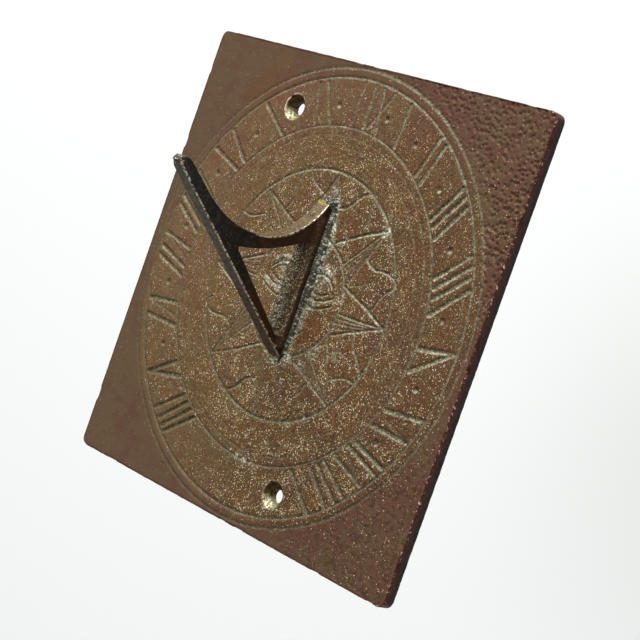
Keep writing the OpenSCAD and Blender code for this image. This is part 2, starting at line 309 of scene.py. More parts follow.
def dialRelief(x, y):
    # height above the plate's face in mm at each plan point, and the amounts that the metal is coloured by
    radius = np.hypot(x, y)
    depth = np.zeros_like(x)
    green = np.zeros_like(x)
    edge = np.zeros_like(x)
    wobble = 0.28 * cloud(x, y, 4.2, 11) + 0.14 * cloud(x, y, 1.7, 12)
    worn = patches(x, y, stains["worn"], 2.6, 14)
    wear = (0.78 + 0.22 * cloud(x, y, 9.0, 13)) * (1 - worn)

    def cut(distance, width, deep, verdigris):
        half = width / 2
        t = (distance + wobble * 0.4) / half
        np.maximum(depth, deep * wear * fall(0.15, 1.1, t), out=depth)
        np.maximum(green, verdigris * fall(0.35, 0.8, t), out=green)
        np.maximum(edge, min(1.0, 2.4 * deep) * fall(1.0, 1.35, t), out=edge)

    for ring in rings:
        cut(np.abs(radius - ring["radius"]), ring["width"], ring["depth"], ring["green"])
    if ((radius > 54) & (radius < 71)).any():
        for name, legs in numerals["legs"].items():
            for place, leg in enumerate(legs):
                topBearing, footBearing, foot, top = (*leg, *numerals["reach"][len(leg) - 2:])
                strength = numerals["faint"].get((name, place), 1.0)
                distance = lineDistance(x, y, [onDial(topBearing, top), onDial(footBearing, foot)])
                width = numerals["width"] * (0.7 + 0.3 * strength)
                cut(distance, width, numerals["depth"] * strength, strength)
        for bearing in halfHours["bearings"]:
            px, py = onDial(bearing, halfHours["radius"])
            cut(np.hypot(x - px, y - py), halfHours["width"], halfHours["depth"], 0.5)
    if ((radius > 50) & (radius < 56)).any():
        for ends in quarterLines():
            cut(lineDistance(x, y, ends), quarterTicks["width"], quarterTicks["depth"], 0.2)
    raised = np.zeros_like(x)
    crest = np.zeros_like(x)
    if (radius < 42).any():
        for step in range(8):
            for share, verdigris, line in sun["strokes"]:
                distance = lineDistance(x, y, turned(line, 45 * step))
                cut(distance, sun["lineWidth"] * share, sun["lineDepth"] * share, verdigris)
            for line in sun["hatch"]:
                cut(lineDistance(x, y, turned(line, 45 * step)), sun["hatchWidth"], sun["hatchDepth"], 0.45)
        cut(np.abs(radius - sun["faceRadius"]), 1.2, 0.32, 0.8)
        for mirrored in (x, -x):
            for line in face["grooves"]:
                cut(lineDistance(mirrored, y, line), face["width"], face["depth"], 0.45)
            for high, pale, line in face["ridges"]:
                bulge = fall(0.1, 1.1, lineDistance(mirrored, y, line) + 0.9 * wobble)
                raised = np.maximum(raised, high * bulge)
                crest = np.maximum(crest, pale * bulge * rise(-0.35, 0.15, cloud(x, y, 1.5, 65)))
            eyeX, eyeY = face["eye"]
            iris = np.hypot(mirrored - eyeX, y - eyeY)
            cut(np.abs(iris - 1.55), 0.6, 0.2, 0.4)
            raised = np.maximum(raised, 0.22 * fall(0.2, 1.3, iris))
            crest = np.maximum(crest, 0.5 * fall(0.2, 1.2, iris))
            cheekX, cheekY = face["cheek"]
            wide, tall = face["cheekSize"]
            mound = fall(0.1, 1.0, np.hypot((mirrored - cheekX) / wide, (y - cheekY) / tall))
            raised = np.maximum(raised, 0.22 * mound)
    # the border between the two outer rings is smooth and a little rounded
    border = rise(70.4, 71.4, radius) * fall(72.6, 73.6, radius)
    # cast skin: slow waves, grain, and pits that are thickest in the north-east corner and finest in the west
    northEast = rise(66, 80, radius) * rise(45, 110, x + y)
    southEast = rise(66, 80, radius) * rise(0, 40, x - y)
    calm = rise(68, 76, radius) * rise(20, -20, x)
    grain = cloud(x, y, 0.8, 21) * 0.6 + cloud(x, y, 0.55, 22) * 0.4
    lumps = 0.05 * cloud(x, y, 7.5, 23) + (0.045 - 0.02 * calm) * cloud(x, y, 2.6, 24)
    lumps += (0.03 + 0.015 * northEast) * cloud(x, y, 1.3, 25) * (1 - 0.8 * calm)
    clusters = rise(-0.35, 0.25, cloud(x, y, 6.0, 27) + 0.7 * northEast)
    smallPits = (0.10 - 0.08 * calm) * pits(x, y, 1.1, 31, 0.4)
    deepPits = (0.02 + 0.52 * northEast + 0.16 * southEast) * pits(x, y, 1.55, 32, 0.8)
    smallPits += deepPits * clusters * (1 - calm)
    skin = (lumps + 0.04 * grain * (1 - 0.6 * calm) - smallPits) * (1 - 0.7 * border)
    underGnomon = fall(2.6, 3.6, np.abs(x)) * rise(-23, -21.5, y) * fall(31, 32.5, y)
    # crumbly crusts of verdigris about the face and the rays' tips
    besideSolder = lineDistance(x, y, stains["solderEdge"]) + 0.9 * cloud(x, y, 2.0, 51)
    crust = np.maximum(patches(x, y, stains["crust"], 1.8, 62), 0.9 * fall(0.2, 2.2, besideSolder))
    crumbs = 0.6 * cloud(x, y, 0.9, 63) + 0.4 * cloud(x, y, 0.6, 64)
    height = -0.10 + skin - depth + raised + 0.08 * border + 0.16 * crust * crumbs
    height = height * (1 - underGnomon) - 0.004 * underGnomon
    # verdigris crept out round the solder, and blotches of it here and there
    mottle = rise(-0.5, 0.3, cloud(x, y, 11.0, 55) + 0.012 * x)
    creep = 0.9 * fall(0.2, 2.4, besideSolder) * rise(-0.5, 0.2, cloud(x, y, 0.9, 52) + 0.2)
    blotches = patches(x, y, stains["blotches"], 1.6, 53) * rise(-0.5, 0.3, cloud(x, y, 0.8, 57))
    green = green * (1 - 0.8 * worn) * (0.65 + 0.35 * mottle)
    green = np.maximum(np.maximum(green, creep), blotches)
    # bare grains are thickest over the middle and south, thin in the north and west, few in the corners
    rubbed = rise(-110, 10, x - 0.3 * y) * (1 - 0.75 * rise(35, 70, y))
    rubbed *= 1 - 0.6 * rise(69.5, 71, radius) * rise(60, 20, x)
    rubbed *= (1 - 0.8 * rise(73, 75, radius)) * (1 - 0.9 * calm)
    rubbed *= 1 - 0.35 * rise(35, 50, x) * rise(-30, -10, y)
    rubbed *= 1 - 0.65 * rise(0, -12, x) * rise(-42, -56, y)
    rubbed *= 0.9 + 0.25 * cloud(x, y, 6.0, 58) + 0.1 * cloud(x, y, 2.4, 59)
    rubbed *= 1 - 0.6 * np.clip(green + edge, 0, 1)
    # painted shade: the corners, the east and the south are darker than the rest
    paintedShade = np.maximum(rise(68, 74, radius), 0.6 * rise(15, 55, x))
    paintedShade = np.maximum(paintedShade, 0.5 * rise(0, -40, y))
    ruddy = patches(x, y, stains["ruddy"], 3.4, 60)
    rubbed = np.clip(rubbed * (1 - 0.6 * ruddy), 0, 1)
    middle = fall(38, 42, radius)
    coarse = np.maximum(middle, rise(10, -35, y) * rise(-50, 10, x) * fall(71, 73, radius))
    amounts = {
        "verdigris": green,
        "groove": edge,
        "coarse": coarse,
        "rubbed": rubbed,
        "crest": np.clip(crest, 0, 1),
        "ruddy": ruddy,
        "paintedShade": paintedShade,
        "crust": crust * rise(-0.5, 0.5, crumbs + 0.6 * crest + 0.1),
    }
    return height, amounts


def storeAmounts(mesh, amounts):
    for name, values in amounts.items():
        layer = mesh.attributes.new(name, "FLOAT", "POINT")
        layer.data.foreach_set("value", values.astype(np.float32))


def readVectors(items, key):
    # a row of three numbers for every point or face
    flat = np.zeros(len(items) * 3)
    items.foreach_get(key, flat)
    return flat.reshape(-1, 3)


def readPoints(mesh):
    return readVectors(mesh.vertices, "co") / mm


def writePoints(mesh, points):
    mesh.vertices.foreach_set("co", (points * mm).ravel())
    mesh.update()


def smoothAll(mesh):
    mesh.polygons.foreach_set("use_smooth", np.ones(len(mesh.polygons), bool))


def addObject(name, data):
    thing = bpy.data.objects.new(name, data)
    bpy.context.scene.collection.objects.link(thing)
    return thing


def pieceFrom(bm, name):
    bmesh.ops.recalc_face_normals(bm, faces=bm.faces[:])
    mesh = bpy.data.meshes.new(name)
    bm.to_mesh(mesh)
    bm.free()
    return addObject(name, mesh)


def settle(piece, nodes):
    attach(piece, "root")
    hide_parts(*nodes)
    print(piece.name, len(piece.data.vertices), "points")


def unitGrid(columns, rows):
    bm = bmesh.new()
    bmesh.ops.create_grid(bm, x_segments=columns, y_segments=rows, size=1.0)
    return bm


def flatGrid(westEast, southNorth, cell, height):
    # a level grid over a rectangle, all in mm
    west, east = westEast
    south, north = southNorth
    bm = unitGrid(round((east - west) / cell), round((north - south) / cell))
    half = ((east - west) / 2 * mm, (north - south) / 2 * mm, 1.0)
    middle = ((east + west) / 2 * mm, (north + south) / 2 * mm, height * mm)
    bmesh.ops.scale(bm, vec=half, verts=bm.verts[:])
    bmesh.ops.translate(bm, vec=middle, verts=bm.verts[:])
    return bm


def borderLoops(bm):
    # the open edges, sorted into loops
    left = {e for e in bm.edges if e.is_boundary}
    loops = []
    while left:
        first = left.pop()
        edges, ends = [first], list(first.verts)
        while ends:
            vert = ends.pop()
            for edge in vert.link_edges:
                if edge in left:
                    left.discard(edge)
                    edges.append(edge)
                    ends.append(edge.other_vert(vert))
        loops.append(edges)
    return loops


def dropWall(bm, edges, toHeight):
    # pulls a loop of edges straight down to a height in mm and gives back the new loop's edges
    made = bmesh.ops.extrude_edge_only(bm, edges=edges)["geom"]
    for part in made:
        if isinstance(part, bmesh.types.BMVert):
            part.co.z = toHeight * mm
    newEdges = [part for part in made if isinstance(part, bmesh.types.BMEdge)]
    return [edge for edge in newEdges if edge.is_boundary]


def closeBelow(bm, edges):
    bmesh.ops.triangle_fill(bm, edges=edges, use_beauty=False, use_dissolve=False, normal=(0, 0, -1))


def dropToBase(bm, height):
    # walls down from every open edge, and a flat base at the given height in mm
    low = []
    for edges in borderLoops(bm):
        low.extend(dropWall(bm, edges, height))
    closeBelow(bm, low)


def openHoles(bm):
    # takes out the faces over each bore and rounds the opening, then closes in the countersink's rim
    for bearing in screwHoles["bearings"]:
        px, py = onDial(bearing, screwHoles["radius"])
        middle = Vector((px * mm, py * mm))
        bore = screwHoles["bore"] * mm
        mouth = screwHoles["mouth"] * mm
        inside = [f for f in bm.faces if (f.calc_center_median().xy - middle).length < bore]
        bmesh.ops.delete(bm, geom=inside, context="FACES")
        for vert in bm.verts:
            away = vert.co.xy - middle
            if away.length > mouth * 1.2:
                continue
            if vert.is_boundary:
                vert.co.xy = middle + away * (bore / away.length)
            elif abs(away.length - mouth) < 0.12 * mm:
                vert.co.xy = middle + away * (mouth / away.length)


def sinkHeight(x, y):
    # height of the countersinks' 45 degree cones above the face, out to just beyond their rims
    height = np.full(x.shape, 1e3)
    for bearing in screwHoles["bearings"]:
        px, py = onDial(bearing, screwHoles["radius"])
        away = np.hypot(x - px, y - py)
        cone = away - screwHoles["mouth"]
        height = np.minimum(height, np.where(cone < 0.3, cone, 1e3))
    return height


def dressFace(piece, withHoles=False):
    # moves the flat upper points to the dial's relief and stores the amounts on every point
    mesh = piece.data
    points = readPoints(mesh)
    height, amounts = dialRelief(points[:, 0], points[:, 1])
    top = points[:, 2] > plate["thick"] - 0.001
    lift = plate["thick"] + height
    bare = np.zeros(len(points))
    rim = np.zeros(len(points))
    scrapedAndLit = np.zeros(len(points))
    if withHoles:
        sink = sinkHeight(points[:, 0], points[:, 1])
        cone = plate["thick"] + sink - 0.05
        bare = (cone < lift).astype(float)
        lift = np.minimum(lift, cone)
        upper = points[:, 1] > 0
        north, south = (onDial(bearing, screwHoles["radius"]) for bearing in screwHoles["bearings"])
        fromHole = (points[:, :2] - np.where(upper[:, None], north, south)) / screwHoles["mouth"]
        # the upper hole keeps a bright line round its north and west, and both get bright scrapes in the
        # south that are also a painted highlight on the cone's lit south wall
        rim = fall(0.05, 0.3, np.abs(sink + 0.05)) * rise(-0.5, 0.3, fromHole @ [-0.7, 0.7])
        rim = rim * np.where(upper, 1.0, 0.3)
        scrapedAndLit = bare * rise(0.1, 0.7, fromHole @ [-0.25, -0.97])
        for name in amounts:
            amounts[name] = amounts[name] * (1 - bare)
    points[top, 2] = lift[top]
    writePoints(mesh, points)
    # the walls of a groove get a painted highlight in pale verdigris tones on the side towards the light, and
    # painted shade on the other
    towards = readVectors(mesh.vertices, "normal") @ np.array(plate["litFrom"])
    groove = amounts["groove"] * top
    amounts["paintedLitWall"] = groove * rise(0.10, 0.42, towards)
    amounts["paintedShadeWall"] = groove * rise(0.06, 0.34, -towards)
    amounts["countersink"] = bare
    amounts["rim"] = rim
    amounts["scrapedAndLit"] = scrapedAndLit
    storeAmounts(mesh, amounts)
    facingUp = readVectors(mesh.polygons, "normal")[:, 2] > 0.3
    mesh.polygons.foreach_set("use_smooth", facingUp)
    mesh.update()


# the two bands between the rings
numeralBand = {
    "name": "numeral_band",
    "inner": 54.6,
    "outer": 70.4,
    "steps": 59,
    "sectors": 1480,
    "holes": True,
}
innerBand = {
    "name": "inner_band",
    "inner": 40.5,
    "outer": 54.6,
    "steps": 54,
    "sectors": 1160,
    "holes": False,
}


def makeBand(band):
    # a flat grid is bent round into a ring and its two ends are welded
    bm = unitGrid(band["sectors"], band["steps"])
    middle = (band["outer"] + band["inner"]) / 2
    half = (band["outer"] - band["inner"]) / 2
    seam = [v for v in bm.verts if abs(v.co.x) > 0.99999]
    for vert in bm.verts:
        radius = (middle + half * vert.co.y) * mm
        turn = math.pi * vert.co.x
        vert.co = (radius * math.sin(turn), radius * math.cos(turn), plate["thick"] * mm)
    bmesh.ops.remove_doubles(bm, verts=seam, dist=0.00001)
    if band["holes"]:
        openHoles(bm)
    dropToBase(bm, 0.0)
    piece = pieceFrom(bm, band["name"])
    dressFace(piece, band["holes"])
    return piece


medallion = {"name": "sun_medallion", "radius": 40.5, "segments": 300}


def makeMedallion():
    # a square grid is pressed out to a disc of even cells
    bm = unitGrid(medallion["segments"], medallion["segments"])
    for vert in bm.verts:
        a, b = vert.co.x, vert.co.y
        if abs(a) > abs(b):
            radius, turn = a, math.pi / 4 * b / a
        elif b != 0:
            radius, turn = b, math.pi / 2 - math.pi / 4 * a / b
        else:
            radius, turn = 0.0, 0.0
        span = radius * medallion["radius"] * mm
        vert.co = (span * math.cos(turn), span * math.sin(turn), plate["thick"] * mm)
    dropToBase(bm, 0.0)
    piece = pieceFrom(bm, medallion["name"])
    dressFace(piece)
    return piece


def makeCornerField():
    # the square plate outside the dial, with its rounded corners, arrises and sides
    halfX = plate["width"] / 2 - plate["arris"]
    halfY = plate["height"] / 2 - plate["arris"]
    bm = flatGrid((-halfX, halfX), (-halfY, halfY), plate["gridStep"], plate["thick"])
    limit = plate["dialRadius"] * mm
    inside = [f for f in bm.faces if f.calc_center_median().xy.length < limit]
    bmesh.ops.delete(bm, geom=inside, context="FACES")
    # the square corners are pressed round
    arcX = (plate["width"] / 2 - plate["cornerRadius"]) * mm
    arcY = (plate["height"] / 2 - plate["cornerRadius"]) * mm
    for vert in bm.verts:
        over = Vector((abs(vert.co.x) - arcX, abs(vert.co.y) - arcY))
        if over.x > 0 and over.y > 0:
            over *= max(over.x, over.y) / over.length
            vert.co.x = math.copysign(arcX + over.x, vert.co.x)
            vert.co.y = math.copysign(arcY + over.y, vert.co.y)
    low = []
    for edges in borderLoops(bm):
        verts = {v for e in edges for v in e.verts}
        if max(v.co.xy.length for v in verts) < limit + 2 * mm:
            for vert in verts:
                vert.co.xy *= limit / vert.co.xy.length
            low.extend(dropWall(bm, edges, 0.0))
        else:
            low.extend(edgeAndSides(bm, edges))
    closeBelow(bm, low)
    piece = pieceFrom(bm, "corner_field")
    dressFace(piece)
    roughSides(piece)
    return piece


def outward(point):
    # unit direction away from the plate's outline, seen from above, for a point near it
    overX = abs(point.x) - (plate["width"] / 2 - plate["cornerRadius"]) * mm
    overY = abs(point.y) - (plate["height"] / 2 - plate["cornerRadius"]) * mm
    if overX > 0 and overY > 0:
        away = Vector((math.copysign(overX, point.x), math.copysign(overY, point.y)))
    elif overX > overY:
        away = Vector((math.copysign(1.0, point.x), 0.0))
    else:
        away = Vector((0.0, math.copysign(1.0, point.y)))
    return away.normalized()


def edgeAndSides(bm, edges):
    # rounds the upper arris, then goes down the side in short steps and turns under a little
    profile = []
    foot = 0.4   # height in mm below which the side turns under
    for step in range(1, plate["arrisSteps"] + 1):
        turn = math.pi / 2 * step / plate["arrisSteps"]
        fallen = plate["arris"] * (1 - math.cos(turn))
        profile.append((plate["arris"] * math.sin(turn), plate["thick"] - fallen))
    straight = plate["thick"] - plate["arris"] - foot
    for step in range(1, plate["sideSteps"] + 1):
        profile.append((plate["arris"], foot + straight * (1 - step / plate["sideSteps"])))
    profile.append((plate["arris"] - 0.15, 0.1))
    profile.append((plate["arris"] - foot, 0.0))
    reached = 0.0
    for out, height in profile:
        made = bmesh.ops.extrude_edge_only(bm, edges=edges)["geom"]
        for part in made:
            if isinstance(part, bmesh.types.BMVert):
                part.co.xy += outward(part.co) * (out - reached) * mm
                part.co.z = height * mm
        edges = [p for p in made if isinstance(p, bmesh.types.BMEdge) and p.is_boundary]
        reached = out
    return edges


def roughSides(piece):
    mesh = piece.data
    points = readPoints(mesh)
    x, y, z = points.T
    turn = np.arctan2(y, x)
    around = np.where(np.abs(x) / plate["width"] > np.abs(y) / plate["height"], y, x)
    nearEdge = np.minimum(plate["width"] / 2 - np.abs(x), plate["height"] / 2 - np.abs(y))
    side = rise(0.75, 0.1, nearEdge)
    along = around + 7 * turn
    rough = 0.5 + 0.28 * cloud(along, z * 1.6, 2.4, 41) + 0.22 * cloud(along, z * 2.0, 0.9, 42)
    rough += 0.6 * rise(1.2, 0.2, z) * np.clip(cloud(around, z, 1.5, 43), 0, 1)
    inward = plate["sideRough"] * rough * side
    nicks = 0.5 * pits(around + 3 * turn, z, 5.0, 44, 0.22) * rise(2.8, 4.1, z) * side
    flat = np.hypot(x / plate["width"], y / plate["height"])
    pull = (inward + nicks) / (plate["width"] / 2)
    keep = 1 - pull * (flat > 0.3)
    points[:, 0] = x * keep
    points[:, 1] = y * keep
    points[:, 2] = np.where(z > 3.0, z - 0.5 * nicks, z)
    writePoints(mesh, points)
    # the east arris and the two east corners are the knocked ones, the north and west arrises are dark
    arris = rise(0.95, 0.5, nearEdge) * rise(3.0, 3.8, z)
    eastern = rise(72.5, 74.5, x)
    corner = fall(3.0, 6.5, np.hypot(x - 75.5, np.abs(y) - 74.5))
    knocked = arris * np.clip(0.12 + 0.75 * eastern + corner, 0, 1)
    darkRim = rise(1.1, 0.5, nearEdge) * (1 - np.clip(eastern + corner, 0, 1))
    outer = rise(0.55, 0.2, nearEdge) * rise(4.15, 3.7, z)
    storeAmounts(mesh, {"outerSide": np.maximum(outer, 0.8 * darkRim), "edgeWear": knocked})
    smoothAll(mesh)
    mesh.set_sharp_from_angle(angle=math.radians(50))


def edgeWear(mesh, points, normals, kind):
    # how far a point stands out of the smoothed surface, which is greatest along a convex arris
    ends = np.zeros(len(mesh.edges) * 2, int)
    mesh.edges.foreach_get("vertices", ends)
    ends = ends.reshape(-1, 2)
    both = np.concatenate([ends, ends[:, ::-1]])
    count = np.bincount(both[:, 0], minlength=len(points)).clip(1)
    soft = points.copy()
    for turn in range(kind["wearRounds"]):
        for axis in range(3):
            soft[:, axis] = np.bincount(both[:, 0], soft[both[:, 1], axis], len(points)) / count
    return np.clip(((points - soft) * normals).sum(1) / kind["wearScale"], 0, 1)


gnomonCast = {
    "name": "gnomon_cast",
    "cell": 0.23,
    "soften": 5,
    "rough": [(3.4, 0.05), (1.5, 0.04), (0.8, 0.03)],
    "railRough": [(1.6, 0.34), (0.8, 0.30)],
    "seed": 60,
    "wearRounds": 10,
    "wearScale": 0.15,
    "waist": (13.85, 26.7),   # northing and height where the back's two arcs meet
    "lowRadius": 27.4,
    "highRadius": 39.0,
    "windowNorth": 26.0,
    "westSpill": 1.1,
    "shoulder": 0.5,   # how far the rail's east edge is worn down, as a share of its height
}


def castSkin(points, normals, layers, seed):
    # seeded unevenness from three crossed views, so that it covers every side
    shift = np.zeros(len(points))
    weights = np.abs(normals) + 0.05
    weights = weights / weights.sum(1, keepdims=True)
    x, y, z = points.T
    for place, (size, high) in enumerate(layers):
        base = seed + 5 * place
        shift += high * (weights[:, 0] * cloud(y, z, size, base) + weights[:, 1] * cloud(x, z, size, base + 1)
                         + weights[:, 2] * cloud(x, y, size, base + 2))
    return shift


def recast(nodeName, kind):
    # a merged copy of the solid, rebuilt in fine even cells, softened, then given its cast skin
    bm = bmesh.new()
    bm.from_mesh(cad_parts[nodeName].data)
    bmesh.ops.remove_doubles(bm, verts=bm.verts[:], dist=0.000002)
    coarse = pieceFrom(bm, kind["name"] + "_coarse")
    cells = coarse.modifiers.new("cells", "REMESH")
    cells.mode = "VOXEL"
    cells.voxel_size = kind["cell"] * mm
    fine = bpy.data.meshes.new_from_object(coarse.evaluated_get(bpy.context.evaluated_depsgraph_get()))
    bpy.data.objects.remove(coarse)
    bm = bmesh.new()
    bm.from_mesh(fine)
    for turn in range(kind["soften"]):
        bmesh.ops.smooth_vert(bm, verts=bm.verts[:], factor=0.5,
                              use_axis_x=True, use_axis_y=True, use_axis_z=True)
    piece = pieceFrom(bm, kind["name"])
    mesh = piece.data
    points = readPoints(mesh)
    x, y, z = points.T
    normals = readVectors(mesh.vertices, "normal")
    normalX, normalY, normalZ = normals.T
    wear = edgeWear(mesh, points, normals, kind)
    skin = castSkin(points, normals, kind["rough"], kind["seed"])
    slope = math.radians(quarterTicks["latitude"])
    above = z - plate["thick"]
    styleFace = rise(0.7, 0.9, normalZ * math.cos(slope) - normalY * math.sin(slope))
    inWindow = rise(-18, -16.5, y) * fall(kind["windowNorth"] - 1, kind["windowNorth"], y)
    railTop = rise(0.2, 0.7, normalZ) * (1 - styleFace) * inWindow * fall(4.6, 5.4, above)
    upward = rise(0.25, 0.6, np.maximum(normalY, normalZ)) * (np.abs(normalX) < 0.6)
    backTop = upward * rise(0.4, 1.2, above) * (1 - styleFace) * (1 - railTop)
    backTop = backTop * fall(24, 27, above)
    skin += railTop * castSkin(points, normals, kind["railRough"], kind["seed"] + 40)
    # only the arrises of the style and of the curved back are rubbed bright, the eastern ones most
    waistY, waistZ = kind["waist"]
    behind = (y - quarterTicks["styleFoot"]) * math.sin(slope) - above * math.cos(slope)
    lowArc = np.hypot(y - waistY - kind["lowRadius"], above - waistZ) - kind["lowRadius"]
    hornArc = np.hypot(y - waistY - kind["highRadius"], above - waistZ) - kind["highRadius"]
    hornWear = 0.3 * fall(0.5, 1.1, hornArc)
    arc = np.where(above < waistZ, fall(0.5, 1.1, lowArc), hornWear)
    wear = wear * np.maximum(fall(0.5, 1.1, behind), arc) * np.where(x > 0, 1.0, 0.7)
    # the rail has a rounded east shoulder and swells out to the west
    rail = inWindow * fall(4.4, 5.0, above) * fall(0.5, 1.5, -behind)
    points[:, 2] -= kind["shoulder"] * above * rail * rise(0.0, 2.9, x) * fall(19, 25, y)
    swell = rail * rise(1.0, 3.4, above) * fall(14, 22, y) * rise(0.2, 0.8, -normalX)
    points[:, 0] -= kind["westSpill"] * swell * (0.8 + 0.2 * cloud(y, y, 2.6, 66))
    spill = railTop * fall(-14, 4, y)
    # the horn's blunt nose is rounded off to both sides
    top = above.max()
    nose = rise(top - 3.0, top, above)
    tip = above > top - 1.5
    tipMiddle = (x[tip].max() + x[tip].min()) / 2
    sideways = (x - tipMiddle) / (x[tip].max() - tipMiddle)
    points[:, 2] -= 1.1 * nose * sideways ** 2
    points[:, 0] -= 0.25 * nose * (x - tipMiddle)
    points += normals * (skin - 0.02)[:, None]
    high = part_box(nodeName)[1]
    points[:, 2] = np.clip(points[:, 2], plate["thick"] - 0.12, high.z / mm)
    writePoints(mesh, points)
    storeAmounts(mesh, {"edgeWear": wear, "styleFace": styleFace, "railTop": railTop, "rail": rail,
                        "backTop": backTop, "spill": spill, "nose": rise(top - 3.2, top - 0.6, above)})
    smoothAll(mesh)
    return piece


solderBead = {
    "name": "solder_bead",
    "cell": 0.17,
    "westEast": (-3.4, 9.0),
    "southNorth": (-22.0, 34.6),
    "side": 2.8,   # the gnomon's east face
    "toe": 30.5,
    # northing, then how far the run reaches out from the gnomon and how high it stands
    "run": [(-20.6, 0.5, 0.3), (-18.6, 1.9, 0.9), (-12.0, 2.4, 1.2), (1.0, 3.3, 1.3), (18.0, 3.5, 1.3),
            (25.0, 3.0, 1.3), (31.0, 1.6, 0.8), (33.0, 0.6, 0.2)],
    "lump": (1.8, 30.5, 2.4, -0.3),
    "rough": [(3.2, 0.08), (1.5, 0.12), (0.75, 0.34)],
    "bury": 0.8,
}


def solderReach(y):
    # how far the run reaches out from the gnomon at each northing
    run = np.array(solderBead["run"]).T
    return np.interp(y, run[0], run[1]) * (1 + 0.22 * cloud(y, y, 3.7, 86))


def makeSolder():
    # a strip of fine grid lifted into a run of solder that dips under the plate's face along a ragged edge
    bm = flatGrid(solderBead["westEast"], solderBead["southNorth"], solderBead["cell"], 0.0)
    x = np.array([v.co.x for v in bm.verts]) / mm
    y = np.array([v.co.y for v in bm.verts]) / mm
    toe = solderBead["toe"]
    away = x - solderBead["side"]
    reach = solderReach(y)
    uneven = np.zeros_like(x)
    for step, (size, high) in enumerate(solderBead["rough"]):
        uneven += high * cloud(x, y, size, 80 + step)
    run = np.array(solderBead["run"]).T
    ridge = np.interp(y, run[0], run[2]) * (1 - np.clip(away / reach, 0, 1.6) ** 2)
    ridge = ridge * (0.6 + 0.4 * rise(0.5, 1.3, away))
    ridge = np.where(away < -0.5, -1.0, ridge)
    end = 0.7 * (1 - ((y - toe) / 1.9) ** 2) - 2.0 * rise(1.4, 3.4, np.abs(x + 0.2))
    end = np.where(y > toe - 0.4, end, -1.0)
    lumpX, lumpY, lumpR, lumpZ = solderBead["lump"]
    inside = lumpR ** 2 - (x - lumpX) ** 2 - (y - lumpY) ** 2
    lump = np.where(inside > 0, np.sqrt(np.clip(inside, 0, None)) + lumpZ, -1.0)
    bead = np.maximum(np.maximum(ridge, end), lump)
    crumbs = uneven * (0.55 + 0.45 * rise(0.45, 0.8, away / reach))
    bead = bead + crumbs * rise(-0.6, 0.5, bead)
    relief = dialRelief(x, y)[0]
    level = plate["thick"] + relief * fall(0.2, 1.0, bead) + bead
    for vert, z in zip(bm.verts, level):
        vert.co.z = z * mm
    bm.verts.index_update()
    hidden = [f for f in bm.faces if max(bead[v.index] for v in f.verts) < -0.12]
    bmesh.ops.delete(bm, geom=hidden, context="FACES")
    dropToBase(bm, plate["thick"] - solderBead["bury"])
    piece = pieceFrom(bm, solderBead["name"])
    mesh = piece.data
    points = readPoints(mesh)
    x, y = points[:, 0], points[:, 1]
    away = x - solderBead["side"]
    margin = rise(0.45, 0.75, away / solderReach(y) + 0.2 * cloud(x, y, 1.6, 87))
    # painted shade in the crevice where the run meets the gnomon's side
    creviceShade = fall(0.5, 1.0, away + 0.3 * cloud(x, y, 1.3, 88)) * (y < toe - 2)
    crest = 0.5 + 0.7 * cloud(x, y, 0.75, 82) + 0.3 * cloud(x, y, 0.5, 83)
    storeAmounts(mesh, {"crest": np.clip(crest, 0, 1), "margin": margin, "creviceShade": creviceShade})
    smoothAll(mesh)
    return piece


def tone(red, green, blue):
    # a colour as seen on screen, 0 to 255, turned into the light amounts that a shader takes
    parts = []
    for value in (red, green, blue):
        v = value / 255
        parts.append(v / 12.92 if v <= 0.04045 else ((v + 0.055) / 1.055) ** 2.4)
    return (*parts, 1.0)


